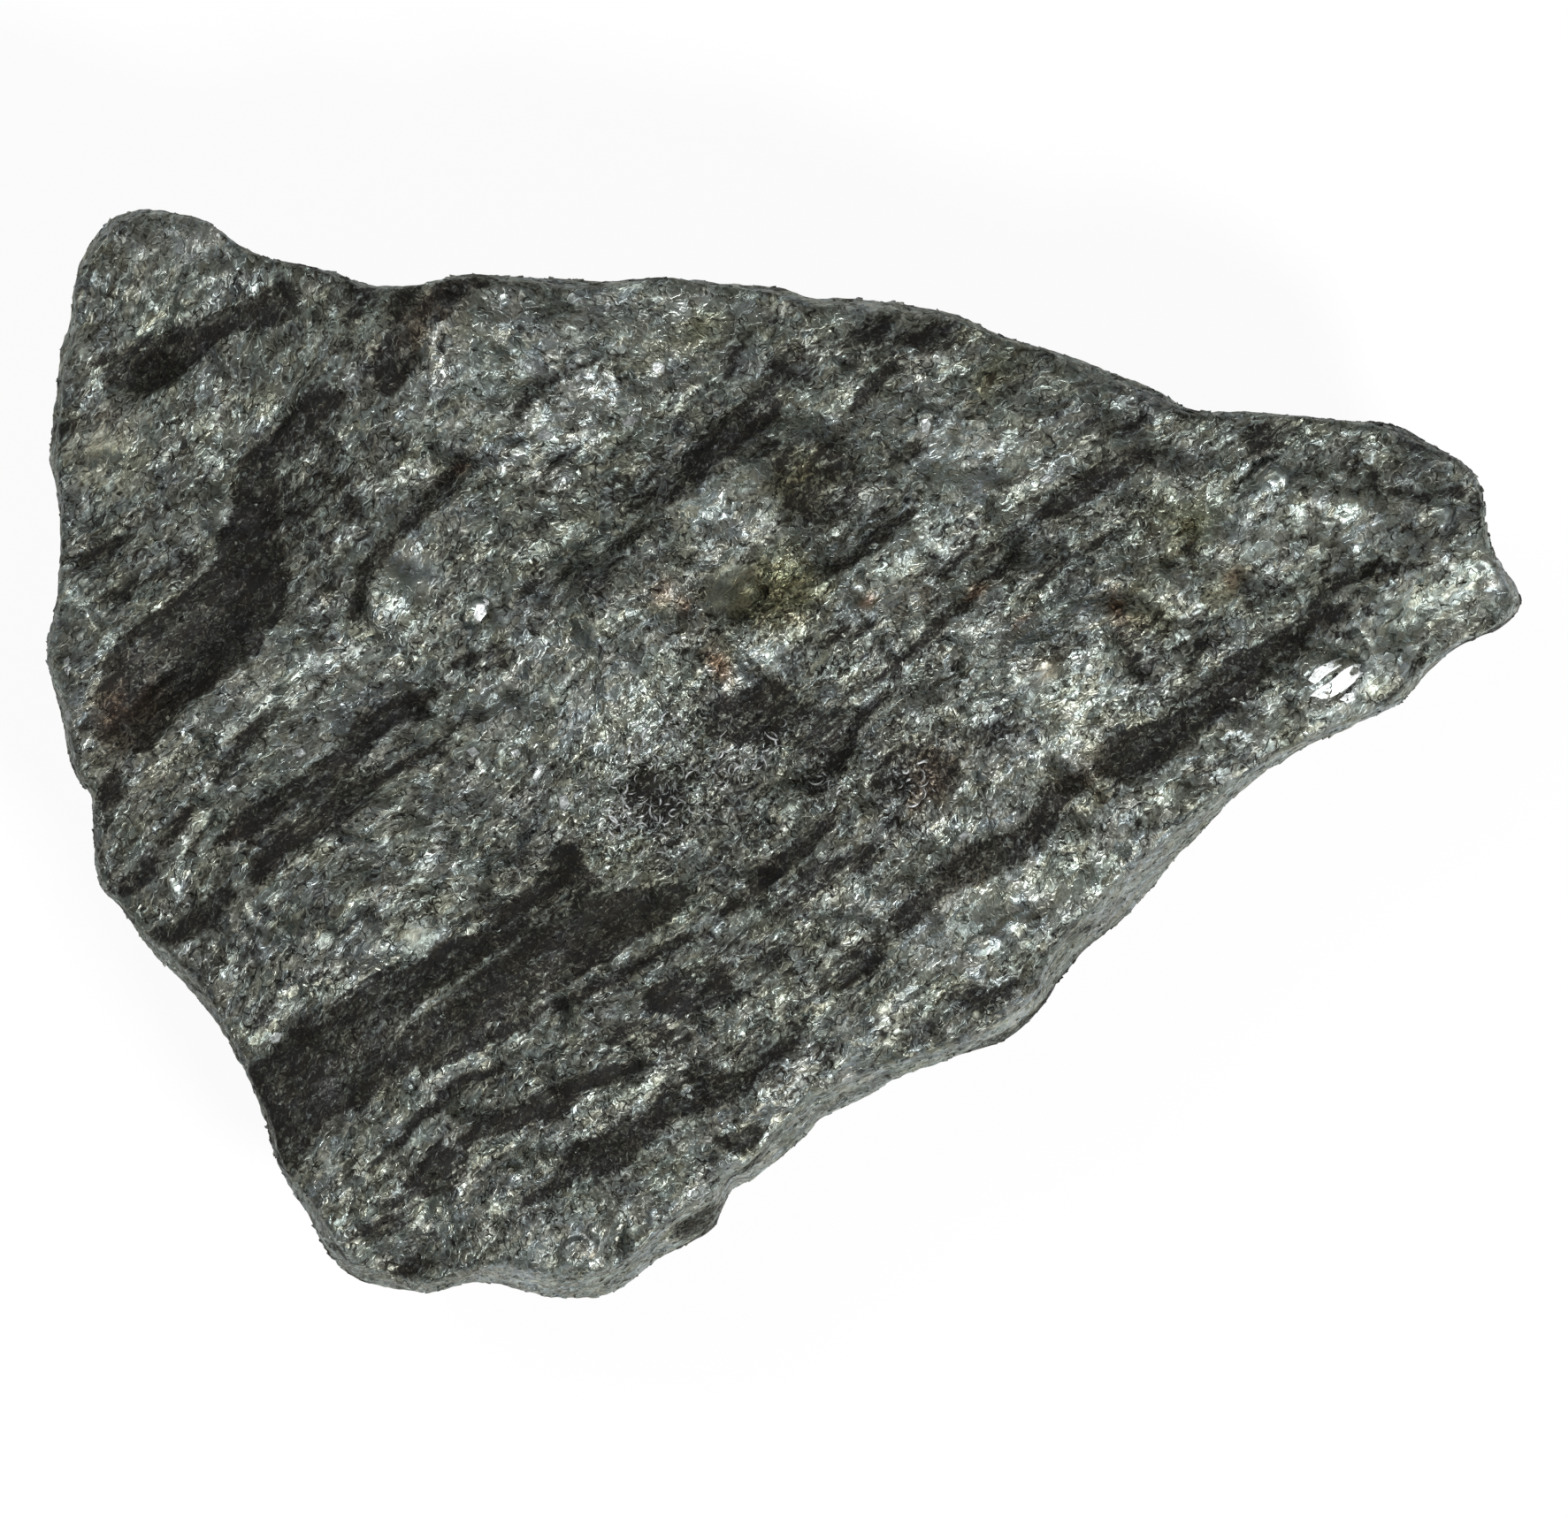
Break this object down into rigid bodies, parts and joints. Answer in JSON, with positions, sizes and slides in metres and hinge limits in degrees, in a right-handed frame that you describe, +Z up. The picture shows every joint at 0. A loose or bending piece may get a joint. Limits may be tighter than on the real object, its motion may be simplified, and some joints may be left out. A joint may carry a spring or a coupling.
{
  "type": "banded iron ore specimen",
  "caption": "Broken hand-sized slab of banded iron ore: silvery flaky hematite with slanting dark bands, lying on its flatter side.",
  "frame": {"origin": "centre of the slab's box in plan, on the surface that it rests on", "axes": "+X along the slab towards its narrow end, +Y towards the long straight edge, +Z up out of the broken face"},
  "size_m": [0.0834, 0.0618, 0.0186],
  "materials": {
    "ore": "rough broken stone: silvery green-grey hematite flakes with a metallic glint, and matte brown-black bands"
  },
  "bodies": {
    "root": {"ore_specimen": "ore"}
  },
  "joints": []
}
